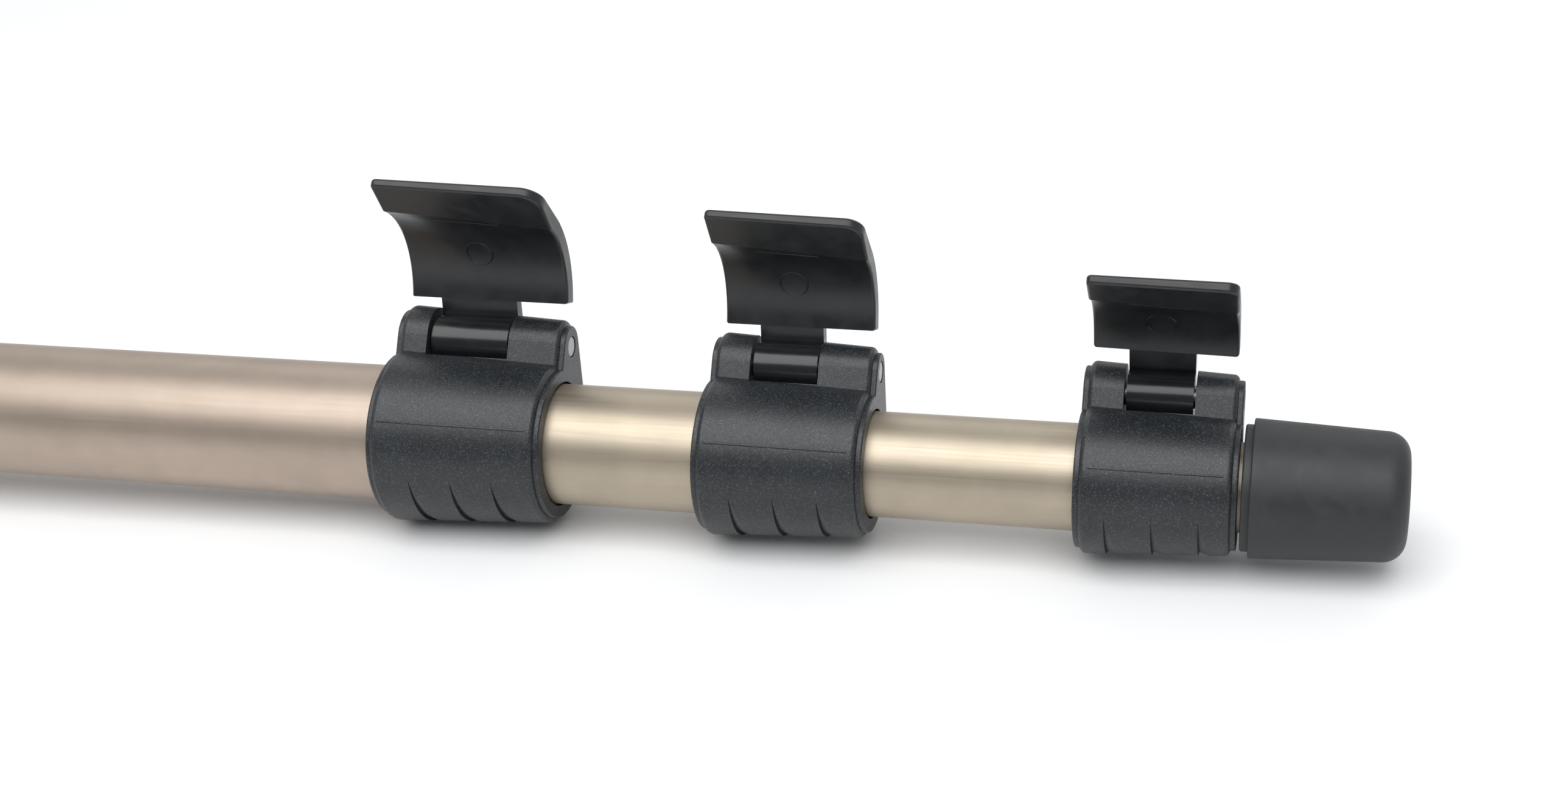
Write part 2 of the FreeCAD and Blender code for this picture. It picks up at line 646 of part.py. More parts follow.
# ---------------------------------------------------------------- foot
def make_foot():
    """Moulded rubber foot with a small lip at its mouth and a rounded end."""
    lip = f"{tube_radius(4)} + foot_start_wall - foot_lip_step"
    corners = [
        ("0", "0"), ("0", lip), ("foot_lip_length", lip),
        ("foot_lip_length", f"{tube_radius(4)} + foot_start_wall"),
        ("foot_length", f"{tube_radius(4)} + foot_end_wall"), ("foot_length", "0"),
    ]
    body = turned("rubber_foot", corners, place=foot_place)
    round_edges(body, "foot_round", circle_at("foot_length", f"{tube_radius(4)} + foot_end_wall"))
    round_edges(body, "plate_round", circle_at("0", lip))
    round_edges(body, "plate_round", circle_at("foot_lip_length", f"{tube_radius(4)} + foot_start_wall"))
    bore = new_sketch(body, "YZ_Plane")
    circle(bore, f"{tube_radius(4)} + glue_gap")
    pocket(body, bore, "foot_bore_depth")
    return body


def make_foot_plug():
    """Plug that closes the thinnest tube and backs the rubber."""
    head = "0 - plug_head"
    corners = [
        (head, "0"), (head, f"{bore_radius(4)} - glue_gap - 2 * plug_head"),
        ("0", f"{bore_radius(4)} - glue_gap"),
        ("plug_length", f"{bore_radius(4)} - glue_gap"), ("plug_length", tube_radius(4)),
        ("plug_length + plug_head", tube_radius(4)), ("plug_length + plug_head", "0"),
    ]
    return turned("foot_plug", corners, place=f"{foot_place} + foot_bore_depth - plug_head - plug_length")


# ---------------------------------------------------------------- head and grip
sleeve_radius = f"({tube_radius(1)} + sleeve_wall)"
head_radius = f"({sleeve_radius} + head_rim)"
pad_radius = f"({head_radius} - pad_inset)"
grip_radius = f"({tube_radius(1)} + grip_wall)"
end_ring_radius = f"({tube_radius(1)} + ring_wall)"


def make_head_cap():
    """Turned aluminium head: flange, sleeve over the tube, spigot inside it, tapped hole."""
    sleeve_end = f"{head_end} + sleeve_length"
    spigot = f"{bore_radius(1)} - glue_gap"
    corners = [
        ("pad_thick", "0"), ("pad_thick", head_radius), (head_end, head_radius),
        (head_end, sleeve_radius), (sleeve_end, sleeve_radius),
        (sleeve_end, f"{tube_radius(1)} + glue_gap"), (head_end, f"{tube_radius(1)} + glue_gap"),
        (head_end, spigot), (f"{head_end} + spigot_length", spigot), (f"{head_end} + spigot_length", "0"),
    ]
    body = turned("head_cap", corners, tilt=False)
    for place in ("pad_thick", head_end):
        round_edges(body, "head_edge", circle_at(place, head_radius))
    tapped = new_sketch(body, "YZ_Plane", "0")
    circle(tapped, "shank_radius")
    pocket(body, tapped, "stud_depth")
    lower = f"({tube_radius(1)} + glue_gap)"
    for level in (lower, f"0 - {lower} - {sleeve_radius}"):
        hole = new_sketch(body, "XY_Plane", level)
        centre = f"{head_end} + screw_place"
        middle = Vector(number(centre), 0, 0)
        index = hole.addGeometry(Part.Circle(middle, Vector(0, 0, 1), number("screw_radius")))
        constrain(hole, "Radius", index, size="screw_radius")
        pin_point(hole, index, 3, centre, "0")
        pocket(body, hole, sleeve_radius)
    return body


def make_head_screws():
    """Two grub screws that hold the head on the tube, above and below."""
    reach = "(sleeve_wall - glue_gap - plate_round)"
    screws = []
    for side in (1, -1):
        screw = doc.addObject("Part::Cylinder", "grub_screw")
        screw.setExpression("Radius", bound("screw_radius"))
        screw.setExpression("Height", bound(reach))
        screw.Placement.Rotation = FreeCAD.Rotation(Vector(1, 0, 0), 0 if side > 0 else 180)
        screw.setExpression("Placement.Base.x", bound(f"{head_end} + screw_place"))
        lift = f"{tube_radius(1)} + glue_gap"
        screw.setExpression("Placement.Base.z", bound(lift if side > 0 else f"0 - ({lift})"))
        screws.append(screw)
    group = doc.addObject("Part::Compound", "head_screws")
    group.Links = screws
    group.Label = "head_screws"
    doc.recompute()
    return group


def make_head_pad():
    """Rubber ring that the mounted piece seats on."""
    corners = [
        ("0", "stud_radius + grip_clearance"), ("0", pad_radius),
        ("pad_thick", pad_radius), ("pad_thick", "stud_radius + grip_clearance"),
    ]
    body = turned("head_pad", corners, tilt=False)
    round_edges(body, "plate_round", circle_at("0", pad_radius))
    return body


def make_stud():
    """3/8 inch mounting stud, threaded into the head and standing out of its pad."""
    tip = "0 - stud_length"
    corners = [
        (tip, "0"), (tip, "stud_radius - stud_chamfer"), (f"{tip} + stud_chamfer", "stud_radius"),
        ("0", "stud_radius"), ("0", "shank_radius"), ("stud_depth", "shank_radius"), ("stud_depth", "0"),
    ]
    return turned("mount_stud", corners, tilt=False)


def make_grip():
    """Foam grip sleeve just behind the head."""
    inside = f"{tube_radius(1)} + glue_gap"
    place = f"{head_end} + sleeve_length + grip_clearance"
    corners = [("0", inside), ("0", grip_radius), ("grip_length", grip_radius), ("grip_length", inside)]
    body = turned("foam_grip", corners, tilt=False, place=place)
    for end in ("0", "grip_length"):
        round_edges(body, "grip_round", circle_at(end, grip_radius))
    return body


def make_grip_ring():
    """Hard ring that ends the foam."""
    inside = f"{tube_radius(1)} + glue_gap"
    place = f"{head_end} + sleeve_length + 2 * grip_clearance + grip_length"
    corners = [
        ("0", inside), ("0", end_ring_radius), ("ring_length", end_ring_radius), ("ring_length", inside),
    ]
    body = turned("grip_ring", corners, tilt=False, place=place)
    for end in ("0", "ring_length"):
        round_edges(body, "ring_round", circle_at(end, end_ring_radius))
    return body


# ---------------------------------------------------------------- build, check and write
pieces = [make_tube(tube) for tube in TUBES]
for lock in LOCKS:
    for make in (make_collar, make_lever, make_hinge_pin, make_brake_shoe, make_guide_bush):
        pieces.append(make(lock))
pieces += [make_stop_bush(tube) for tube in (2, 3, 4)]
pieces += [make_foot(), make_foot_plug(), make_head_cap(), make_head_screws(), make_head_pad()]
pieces += [make_stud(), make_grip(), make_grip_ring()]
doc.recompute()

faults = [item.Label for item in doc.Objects if {"Invalid", "Error"} & set(item.State)]
faults += [piece.Label for piece in pieces if piece.Shape.isNull() or not piece.Shape.isValid()]
if faults:
    raise RuntimeError(f"not built: {sorted(set(faults))}")

os.makedirs("parts", exist_ok=True)
for piece in pieces:
    piece.Shape.exportStep(f"parts/{piece.Label}.step")
print(f"{len(pieces)} sub-parts written")
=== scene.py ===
# %% [markdown]
# # A telescoping boom pole
# The object is a pole of four champagne aluminium tubes that slide into each other. Three black
# flip locks hold them, a rubber foot closes the thin end, and a threaded stud stands out of the
# thick end, above a foam grip. The solid parts are already made as a CAD frame. This lesson
# lights them, gives each its finish, and models the small things that a CAD solid leaves out.
# Everything is in metres: +X runs from the head to the foot, +Z is up, and the levers open
# towards -Y.

import json
import math

import bpy
from mathutils import Matrix, Vector


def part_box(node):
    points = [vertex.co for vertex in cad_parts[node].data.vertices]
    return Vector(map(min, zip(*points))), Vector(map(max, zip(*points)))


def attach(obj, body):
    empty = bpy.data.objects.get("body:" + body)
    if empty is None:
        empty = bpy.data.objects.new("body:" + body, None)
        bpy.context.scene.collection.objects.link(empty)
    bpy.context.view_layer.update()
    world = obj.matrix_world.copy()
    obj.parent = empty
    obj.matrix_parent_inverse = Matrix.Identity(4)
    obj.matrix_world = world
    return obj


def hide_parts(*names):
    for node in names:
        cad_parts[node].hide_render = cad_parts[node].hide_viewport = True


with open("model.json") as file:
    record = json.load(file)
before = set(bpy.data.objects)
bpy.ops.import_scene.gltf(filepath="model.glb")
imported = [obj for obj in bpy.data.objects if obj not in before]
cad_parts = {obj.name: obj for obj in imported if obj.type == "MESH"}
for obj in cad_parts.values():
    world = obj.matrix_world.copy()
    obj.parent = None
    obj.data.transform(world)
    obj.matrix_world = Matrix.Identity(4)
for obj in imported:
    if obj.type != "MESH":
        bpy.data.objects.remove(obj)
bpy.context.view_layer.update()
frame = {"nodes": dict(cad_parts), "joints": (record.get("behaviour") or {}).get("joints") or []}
MM = 0.001
nodes = frame["nodes"]

# %% [markdown]
# ## Where to stand
# The camera looks down at the three locks from the front, a little from the foot's end. It could
# be placed by eye, but a distance and three angles round a chosen point are easier to talk about
# and to change. The point is on the second lock, and a lens near 50 mm keeps the tubes from
# bulging.

# %% Camera
look_at = Vector((0.4540, 0.0049, 0.0086))
stand_off = 0.4128
turned_left = math.radians(15.49)
looking_down = math.radians(29.09)
leaning = math.radians(-4.31)

forward = Vector((
    -math.sin(turned_left) * math.cos(looking_down),
    math.cos(turned_left) * math.cos(looking_down),
    -math.sin(looking_down),
))
level_right = forward.cross(Vector((0, 0, 1))).normalized()
right = Matrix.Rotation(-leaning, 3, forward) @ level_right
above = right.cross(forward)
camera_data = bpy.data.cameras.new("camera")
camera_data.lens = 49.6
camera_data.sensor_width = 36.0
camera_data.clip_start = 0.01
camera = bpy.data.objects.new("camera", camera_data)
camera.matrix_world = Matrix.Translation(look_at - forward * stand_off) @ Matrix(
    (right, above, -forward)
).transposed().to_4x4()
bpy.context.scene.collection.objects.link(camera)
bpy.context.scene.camera = camera
print("camera right leans to z", round(right.z, 4))

# %% [markdown]
# ## The table it lies on
# The pole lies on a white sweep. It touches the table with the rim of its head and with the
# underside of the first collar, which are of different sizes, so the table is not level with the
# pole's axis. Two contact points give the slope. A grid primitive, scaled and then tilted about
# its own middle, is enough, because nothing but soft shadows is seen on it.


# %% Hands for modelling
def look_away():
    """Deselects everything, so that the next operator touches only the new piece."""
    if bpy.context.mode != "OBJECT":
        bpy.ops.object.mode_set(mode="OBJECT")
    bpy.ops.object.select_all(action="DESELECT")


def take(piece):
    """Makes one piece the selected, active one."""
    look_away()
    piece.select_set(True)
    bpy.context.view_layer.objects.active = piece


def name_it(name):
    """Names the active piece and its mesh."""
    piece = bpy.context.active_object
    piece.name = name
    piece.data.name = name
    return piece


# %% Floor
head_touch = (6 * MM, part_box("head_cap")[0].z)
collar_touch = (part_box("collar_1")[0].x + 1.5 * MM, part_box("collar_1")[0].z - 0.05 * MM)
slope = (collar_touch[1] - head_touch[1]) / (collar_touch[0] - head_touch[0])
look_away()
bpy.ops.mesh.primitive_grid_add(x_subdivisions=4, y_subdivisions=4, size=8.0)
floor = name_it("table_top")
floor.data.transform(Matrix.Rotation(-math.atan(slope), 4, "Y"))
floor.data.transform(Matrix.Translation((0, 0, head_touch[1] - slope * head_touch[0])))
print("table slope:", round(math.degrees(math.atan(slope)), 2), "degrees")

# %% [markdown]
# ## Light
# A white sweep is lit so that it nearly burns out, and the shadows stay thin. One broad soft box
# hangs above and in front of the pole: its reflection is the bright band along the tubes and the
# collars. A weaker one opens the shadows from behind, and the world gives the rest. The standard
# view transform keeps white as white.


# %% Soft boxes and world
def soft_box(name, towards, height, distance, size, power):
    """An area light aimed at the locks, placed by compass side, height angle and distance."""
    side, up = math.radians(towards), math.radians(height)
    away = Vector((math.sin(side) * math.cos(up), -math.cos(side) * math.cos(up), math.sin(up)))
    lamp = bpy.data.lights.new(name, "AREA")
    lamp.shape = "RECTANGLE"
    lamp.size = size[0]
    lamp.size_y = size[1]
    lamp.energy = power
    holder = bpy.data.objects.new(name, lamp)
    holder.location = look_at + away * distance
    holder.rotation_mode = "QUATERNION"
    holder.rotation_quaternion = (-away).to_track_quat("-Z", "Y")
    bpy.context.scene.collection.objects.link(holder)
    return holder


soft_box("key_box", -6, 63, 1.1, (1.5, 1.0), 15)
soft_box("back_box", 180, 38, 1.6, (2.4, 0.8), 5)
bpy.context.scene.view_settings.view_transform = "Standard"

# %% [markdown]
# ## The room
# Satin metal shows the room as much as the lamps. The front of a small studio is dark and the
# sweep behind is bright, so the world is a gradient that gets darker towards the front. It puts
# the dark band under the bright one on every tube.

# %% A room with a darker front
world = bpy.data.worlds.new("studio")
world.use_nodes = True
bpy.context.scene.world = world
room = world.node_tree
looking = room.nodes.new("ShaderNodeTexCoord").outputs["Generated"]
towards_front = room.nodes.new("ShaderNodeVectorMath")
towards_front.operation = "DOT_PRODUCT"
towards_front.inputs[1].default_value = (0.0, -0.985, 0.17)
room.links.new(looking, towards_front.inputs[0])
shade = room.nodes.new("ShaderNodeValToRGB")
shade.color_ramp.elements[0].position = 0.25
shade.color_ramp.elements[0].color = (0.58, 0.59, 0.60, 1)
shade.color_ramp.elements[1].position = 0.95
shade.color_ramp.elements[1].color = (0.20, 0.205, 0.215, 1)
room.links.new(towards_front.outputs["Value"], shade.inputs["Fac"])
room.links.new(shade.outputs["Color"], room.nodes["Background"].inputs["Color"])
print("world: lighter behind, darker in front")

# %% [markdown]
# ## A workbench for finishes
# Every finish starts as one principled shader. Small helpers put a pattern on it: noise in the
# object's own coordinates, a ramp that turns noise into colour or roughness, and a bump. The
# patterns are sized in millimetres, so that grain keeps its real size.


# %% Finish helpers
class Finish:
    """One material: its principled shader, and the nodes that feed it."""

    def __init__(self, name, **settings):
        self.material = bpy.data.materials.new(name)
        self.material.use_nodes = True
        self.tree = self.material.node_tree
        self.shader = self.tree.nodes["Principled BSDF"]
        self.place = self.tree.nodes.new("ShaderNodeTexCoord").outputs["Object"]
        self.last_bump = None
        for socket, value in settings.items():
            self.shader.inputs[socket.replace("_", " ")].default_value = value

    def add(self, kind, **settings):
        node = self.tree.nodes.new("ShaderNode" + kind)
        for setting, value in settings.items():
            setattr(node, setting, value)
        return node

    def join(self, start, end):
        self.tree.links.new(start, end)

    def stretched(self, scale):
        """The object's place, squeezed or drawn out along each axis."""
        mapping = self.add("Mapping")
        mapping.inputs["Scale"].default_value = scale
        self.join(self.place, mapping.inputs["Vector"])
        return mapping.outputs["Vector"]

    def noise(self, size_mm, detail=2.0, rough=0.5, where=None, twist=0.0):
        """Soft noise whose blobs are about size_mm across."""
        node = self.add("TexNoise")
        node.inputs["Scale"].default_value = 1 / (size_mm * MM)
        node.inputs["Detail"].default_value = detail
        node.inputs["Roughness"].default_value = rough
        node.inputs["Distortion"].default_value = twist
        self.join(where or self.place, node.inputs["Vector"])
        return node.outputs["Fac"]

    def cells(self, size_mm, feature="F1", where=None, output="Distance"):
        """Cells about size_mm across: grains, pores or specks."""
        node = self.add("TexVoronoi", feature=feature)
        node.inputs["Scale"].default_value = 1 / (size_mm * MM)
        self.join(where or self.place, node.inputs["Vector"])
        return node.outputs[output]

    def ramp(self, value, stops):
        """A colour for each value: stops are (place, colour) pairs."""
        node = self.add("ValToRGB")
        band = node.color_ramp
        while len(band.elements) < len(stops):
            band.elements.new(0.5)
        for element, (spot, colour) in zip(band.elements, stops):
            element.position = spot
            element.color = (*colour, 1)
        self.join(value, node.inputs["Fac"])
        return node.outputs["Color"]

    def spread(self, value, low, high, to_low, to_high):
        """The value moved from one range to another, and kept inside it."""
        node = self.add("MapRange")
        ends = {"From Min": low, "From Max": high, "To Min": to_low, "To Max": to_high}
        for socket, number in ends.items():
            node.inputs[socket].default_value = number
        self.join(value, node.inputs["Value"])
        return node.outputs["Result"]

    def mix(self, share, first, second):
        """Two colours mixed by a share, each a socket or a plain colour."""
        node = self.add("Mix", data_type="RGBA")
        self.join(share, node.inputs["Factor"])
        for socket, colour in ((node.inputs[6], first), (node.inputs[7], second)):
            if isinstance(colour, tuple):
                socket.default_value = (*colour, 1)
            else:
                self.join(colour, socket)
        return node.outputs[2]

    def bump(self, height, depth_mm, strength=1.0):
        """Adds relief: white in height stands depth_mm proud."""
        node = self.add("Bump")
        node.inputs["Distance"].default_value = depth_mm * MM
        node.inputs["Strength"].default_value = strength
        self.join(height, node.inputs["Height"])
        if self.last_bump is not None:
            self.join(self.last_bump, node.inputs["Normal"])
        self.last_bump = node.outputs["Normal"]
        self.join(self.last_bump, self.shader.inputs["Normal"])

    def colour(self, socket):
        self.join(socket, self.shader.inputs["Base Color"])

    def gloss(self, socket):
        self.join(socket, self.shader.inputs["Roughness"])


def wear(finish, *names):
    """Puts a finish on CAD nodes."""
    for name in names:
        slots = nodes[name].material_slots
        for slot in slots:
            slot.material = finish.material
    print(finish.material.name, "on", ", ".join(names))


# %% [markdown]
# ## Anodised tube
# Each tube is drawn aluminium, etched to a fine satin and anodised. The thickest tube came out
# a shade pinker than the others, which happens when tubes are dyed in different baths. The satin
# is a very fine, shallow grain. Drawn tube also has faint lines along its length, made here by
# drawing noise out along X, and the tubes that slide carry a few rubbed streaks. A thin coat
# over the metal stands for the clear oxide, whose reflection is white and not champagne.


# %% Tube finishes
def tube_finish(name, shade, rubbed):
    satin = 0.46
    metal = Finish(name, Metallic=1.0, Roughness=satin, Coat_Weight=0.25, Coat_Roughness=0.45)
    light, dark = tuple(c * 1.04 for c in shade), tuple(c * 0.93 for c in shade)
    cloud = metal.noise(9, 3.0)
    metal.colour(metal.ramp(cloud, [(0.3, dark), (0.7, light)]))
    lines = metal.noise(0.5, 3.0, where=metal.stretched((0.02, 1, 1)))
    metal.gloss(metal.spread(lines, 0.25, 0.75, satin - rubbed, satin + rubbed))
    metal.bump(metal.noise(0.12, 2.0), 0.004, 0.55)
    metal.bump(lines, 0.003, 0.5)
    return metal


wear(tube_finish("champagne_pink", (0.430, 0.352, 0.290), 0.03), "tube_1")
wear(tube_finish("champagne_gold", (0.430, 0.372, 0.290), 0.05), "tube_2", "tube_3", "tube_4")

# %% [markdown]
# ## Moulded blacks
# The collars are moulded in a filled nylon that sparkles: the mould was eroded by sparks and has
# a coarse skin, and the sparkle is painted into the colour as light specks, which are painted
# glints. The levers come out of a polished mould and only have a fine haze. The rubber foot is
# dull and blue-grey, with dust and rubbed marks. All three are dark, so that what is seen is
# mostly their gloss, and the patterns work on roughness and relief more than on colour.


# %% Collar finish
def collar_finish():
    """Spark-eroded nylon: a fine sparkle painted into the colour as glints, cloudy gloss, and pale
    scuffs where hands rub it.
    """
    nylon = Finish("sparkle_nylon", Roughness=0.5, IOR=1.5)
    specks = nylon.cells(0.14, output="Color")
    split = nylon.add("SeparateColor")
    nylon.join(specks, split.inputs["Color"])
    # Painted glints: a few cells are painted a lighter grey, so the sparkle is in the colour.
    painted_glint_specks = nylon.spread(split.outputs["Red"], 0.86, 1.0, 0.0, 0.9)
    cloud = nylon.noise(6, 4.0)
    skin = nylon.ramp(cloud, [(0.3, (0.009, 0.011, 0.013)), (0.7, (0.014, 0.017, 0.020))])
    scratches = nylon.noise(0.8, 5.0)
    scuffed = nylon.spread(scratches, 0.62, 0.74, 0.0, 0.55)
    worn = nylon.mix(scuffed, skin, (0.050, 0.054, 0.058))
    nylon.colour(nylon.mix(painted_glint_specks, worn, (0.085, 0.092, 0.098)))
    nylon.gloss(nylon.spread(split.outputs["Green"], 0.0, 1.0, 0.30, 0.50))
    nylon.bump(nylon.cells(0.22), 0.020, 0.55)
    nylon.bump(nylon.noise(0.9, 4.0), 0.03, 0.3)
    return nylon


collar_black = collar_finish()
wear(collar_black, "collar_1", "collar_2", "collar_3")


# %% [markdown]
# ## Where each lock is
# Several finishes and small pieces need to know how a lock stands: its hinge leans back from
# upright, and its lever rests open by an angle of its own. The frame's joints give the hinge line
# and the angle that is left to close, so nothing is typed twice. A point is easiest to name on
# the closed lever, as an angle round the tube, and is then swung open.


# %% Lock geometry
class Lock:
    """One flip lock: its collar's ends, its hinge line, and the angle its lever rests open."""

    def __init__(self, number):
        joint = next(j for j in frame["joints"] if j["name"] == f"lever_{number}_flip")
        self.number = number
        self.pin = Vector(joint["pos_m"])
        self.open = math.radians(joint["range_deg"][1])
        self.lean = math.atan2(self.pin.y, self.pin.z)
        self.start, self.end = (corner.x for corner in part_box(f"collar_{number}"))
        self.lever_start, self.lever_end = (corner.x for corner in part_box(f"lever_{number}"))
        self.up = Vector((0, math.sin(self.lean), math.cos(self.lean)))
        self.front = Vector((0, -math.cos(self.lean), math.sin(self.lean)))

    def outward(self, angle):
        """Away from the tube, at an angle round it from the hinge towards the front."""
        return self.up * math.cos(angle) + self.front * math.sin(angle)

    def swung(self, vector):
        """A direction on the closed lever, turned to where the open lever has it."""
        return Matrix.Rotation(-self.open, 3, "X") @ vector

    def swung_point(self, point):
        """A point of the closed lever, swung about the pin to where the open lever has it."""
        level = Vector((point.x, self.pin.y, self.pin.z))
        return level + self.swung(point - level)


def touch(name, start, direction):
    """Where a line from start first meets a CAD node, and the surface's direction there."""
    found, place, normal, _ = nodes[name].ray_cast(start, direction)
    if not found:
        raise RuntimeError(f"nothing of {name} lies that way")
    return place, normal


locks = [Lock(number) for number in (1, 2, 3)]
for lock in locks:
    lean, opening = math.degrees(lock.lean), math.degrees(lock.open)
    print("lock", lock.number, "leans", round(lean, 1), "opens", round(opening))


# %% [markdown]
# ## Lever shell and barrel
# The barrel turns in its collar and is polished by it. One finish can do both: the distance from
# the hinge line is worked out in the shader, and the gloss changes where the barrel ends.


# %% Lever finish
def lever_finish(lock):
    """Satin shell, with a barrel polished by the collar that it turns in."""
    nylon = Finish(f"satin_nylon_{lock.number}", Roughness=0.36, IOR=1.5)
    cloud = nylon.noise(5, 4.0, twist=0.6)
    nylon.colour(nylon.ramp(cloud, [(0.3, (0.008, 0.009, 0.010)), (0.7, (0.013, 0.014, 0.016))]))
    satin = nylon.spread(cloud, 0.3, 0.7, 0.28, 0.42)
    from_pin = nylon.add("VectorMath", operation="MULTIPLY_ADD")
    from_pin.inputs[1].default_value = (0, 1, 1)
    from_pin.inputs[2].default_value = (0, -lock.pin.y, -lock.pin.z)
    nylon.join(nylon.place, from_pin.inputs[0])
    reach = nylon.add("VectorMath", operation="LENGTH")
    nylon.join(from_pin.outputs["Vector"], reach.inputs[0])
    barrel, barrel_end = 5.2 * MM, 6.2 * MM
    polished = nylon.spread(reach.outputs["Value"], barrel, barrel_end, 1.0, 0.0)
    barrel_gloss = 0.20
    blend = nylon.add("Mix", data_type="FLOAT")
    blend.inputs[3].default_value = barrel_gloss
    nylon.join(polished, blend.inputs[0])
    nylon.join(satin, blend.inputs[2])
    nylon.gloss(blend.outputs[0])
    nylon.bump(nylon.noise(0.25, 3.0), 0.012, 0.45)
    nylon.bump(nylon.noise(2.2, 2.0), 0.05, 0.25)
    return nylon


lever_blacks = [lever_finish(lock) for lock in locks]
for lock, finish in zip(locks, lever_blacks):
    wear(finish, f"lever_{lock.number}")


# %% [markdown]
# ## Foot rubber
# The rubber is matt, a little blue, and holds dust. Two noises of very different size give the
# smudges and the flecks.


# %% Foot finish
def foot_finish():
    rubber = Finish("foot_rubber", Roughness=0.55, IOR=1.5)
    smudge = rubber.noise(7, 5.0, 0.6, twist=1.2)
    dust = rubber.noise(0.35, 5.0, 0.7)
    dusty = rubber.ramp(smudge, [(0.35, (0.015, 0.0165, 0.018)), (0.75, (0.024, 0.026, 0.028))])
    fleck = rubber.spread(dust, 0.66, 0.80, 0.0, 0.55)
    rubber.colour(rubber.mix(fleck, dusty, (0.06, 0.06, 0.06)))
    rubber.gloss(rubber.spread(smudge, 0.3, 0.75, 0.48, 0.62))
    rubbed = rubber.noise(1.2, 3.0, where=rubber.stretched((2.2, 0.35, 0.35)))
    rubber.bump(rubber.spread(rubbed, 0.60, 0.75, 0.0, 1.0), 0.03, 0.35)
    rubber.bump(dust, 0.03, 0.4)
    return rubber


foot_black = foot_finish()
wear(foot_black, "rubber_foot")

# %% [markdown]
# ## Small metal and inner parts
# The hinge pins are ground steel, and only their ends show. The bushes and shoes are a dark
# brown nylon that sits just inside each collar's mouth. The plug is the same nylon. The head and
# the grip's end ring are black: one anodised, one moulded.


# %% Steel and bush finishes
def steel_finish(name, shade, gloss):
    steel = Finish(name, Metallic=1.0, Roughness=gloss)
    grain = steel.noise(0.18, 3.0, where=steel.stretched((0.08, 1, 1)))
    steel.colour(steel.ramp(grain, [(0.3, tuple(c * 0.85 for c in shade)), (0.7, shade)]))
    steel.gloss(steel.spread(grain, 0.3, 0.7, gloss - 0.06, gloss + 0.08))
    steel.bump(grain, 0.004, 0.5)
    return steel


def bush_finish():
    nylon = Finish("bush_nylon", Roughness=0.5, IOR=1.5)
    cloud = nylon.noise(2.5, 3.0)
    nylon.colour(nylon.ramp(cloud, [(0.3, (0.030, 0.020, 0.014)), (0.7, (0.045, 0.031, 0.022))]))
    nylon.bump(nylon.noise(0.2, 3.0), 0.01, 0.5)
    return nylon


pin_steel = steel_finish("pin_steel", (0.36, 0.36, 0.365), 0.34)
wear(pin_steel, "hinge_pin_1", "hinge_pin_2", "hinge_pin_3")
bush_brown = bush_finish()
bushes = [f"guide_bush_{k}" for k in (1, 2, 3)] + [f"stop_bush_{k}" for k in (2, 3, 4)]
wear(bush_brown, *bushes, *[f"brake_shoe_{k}" for k in (1, 2, 3)], "foot_plug")


# %% [markdown]
# ## Head and end ring
# Turned metal shows fine rings round its axis, made by squeezing noise along X. The moulded ring
# only has a cloudy gloss. CAD nodes that a finer piece stands for later are dressed too.


# %% Head and grip finishes
def head_finish():
    metal = Finish("head_anodised", Metallic=1.0, Roughness=0.4)
    turned = metal.noise(0.35, 3.0, where=metal.stretched((1.0, 0.03, 0.03)))
    metal.colour(metal.ramp(turned, [(0.3, (0.030, 0.031, 0.034)), (0.7, (0.045, 0.046, 0.050))]))
    metal.gloss(metal.spread(turned, 0.3, 0.7, 0.34, 0.48))
    metal.bump(turned, 0.006, 0.5)
    return metal


def ring_finish():
    nylon = Finish("ring_nylon", Roughness=0.3, IOR=1.5)
    cloud = nylon.noise(3, 4.0)
    nylon.colour(nylon.ramp(cloud, [(0.3, (0.014, 0.014, 0.015)), (0.7, (0.022, 0.022, 0.024))]))
    nylon.gloss(nylon.spread(cloud, 0.3, 0.7, 0.25, 0.38))
    nylon.bump(nylon.noise(0.3, 2.0), 0.01, 0.4)
    return nylon


head_black = head_finish()
wear(ring_finish(), "grip_ring")
wear(head_black, "head_cap")
wear(steel_finish("screw_steel", (0.09, 0.09, 0.095), 0.35), "head_screws")
wear(steel_finish("stud_zinc", (0.56, 0.56, 0.57), 0.30), "mount_stud")
wear(foot_black, "head_pad", "foam_grip")


# %% [markdown]
# ## Table paper
# The sweep is matt paper with hardly any pattern, so that nothing draws the eye from the pole.


# %% Table finish
def table_finish():
    paper = Finish("white_sweep", Roughness=0.7)
    cloud = paper.noise(60, 4.0)
    paper.colour(paper.ramp(cloud, [(0.3, (0.86, 0.865, 0.87)), (0.7, (0.88, 0.885, 0.89))]))
    return paper


floor.data.materials.append(table_finish().material)

# %% [markdown]
# ## Modelling hands
# Most of the new pieces are turned parts. A lathe is a closed outline spun round the pole's axis:
# a circle primitive gives a closed loop with the right number of corners, the corners are put in
# place, and the spin operator sweeps them. Every piece ends at the origin with its place in its
# mesh, rides on a body, and takes its finish.


# %% Lathe and hand-over
def lathe(name, outline, steps=96):
    """A turned ring or disc about the X axis, from (along, out) corners in metres."""
    look_away()
    bpy.ops.mesh.primitive_circle_add(vertices=len(outline), radius=MM, fill_type="NOTHING")
    piece = name_it(name)
    for vertex, (along, out) in zip(piece.data.vertices, outline):
        vertex.co = (along, 0, out)
    bpy.ops.object.mode_set(mode="EDIT")
    bpy.ops.mesh.select_all(action="SELECT")
    bpy.ops.mesh.spin(steps=steps, angle=2 * math.pi, center=(0, 0, 0), axis=(1, 0, 0))
    bpy.ops.mesh.select_all(action="SELECT")
    bpy.ops.mesh.remove_doubles(threshold=0.002 * MM)
    bpy.ops.mesh.normals_make_consistent(inside=False)
    bpy.ops.object.mode_set(mode="OBJECT")
    return piece


def smooth(piece, angle=35):
    """Shades round faces smoothly and keeps edges sharper than the angle."""
    take(piece)
    bpy.ops.object.shade_smooth_by_angle(angle=math.radians(angle))


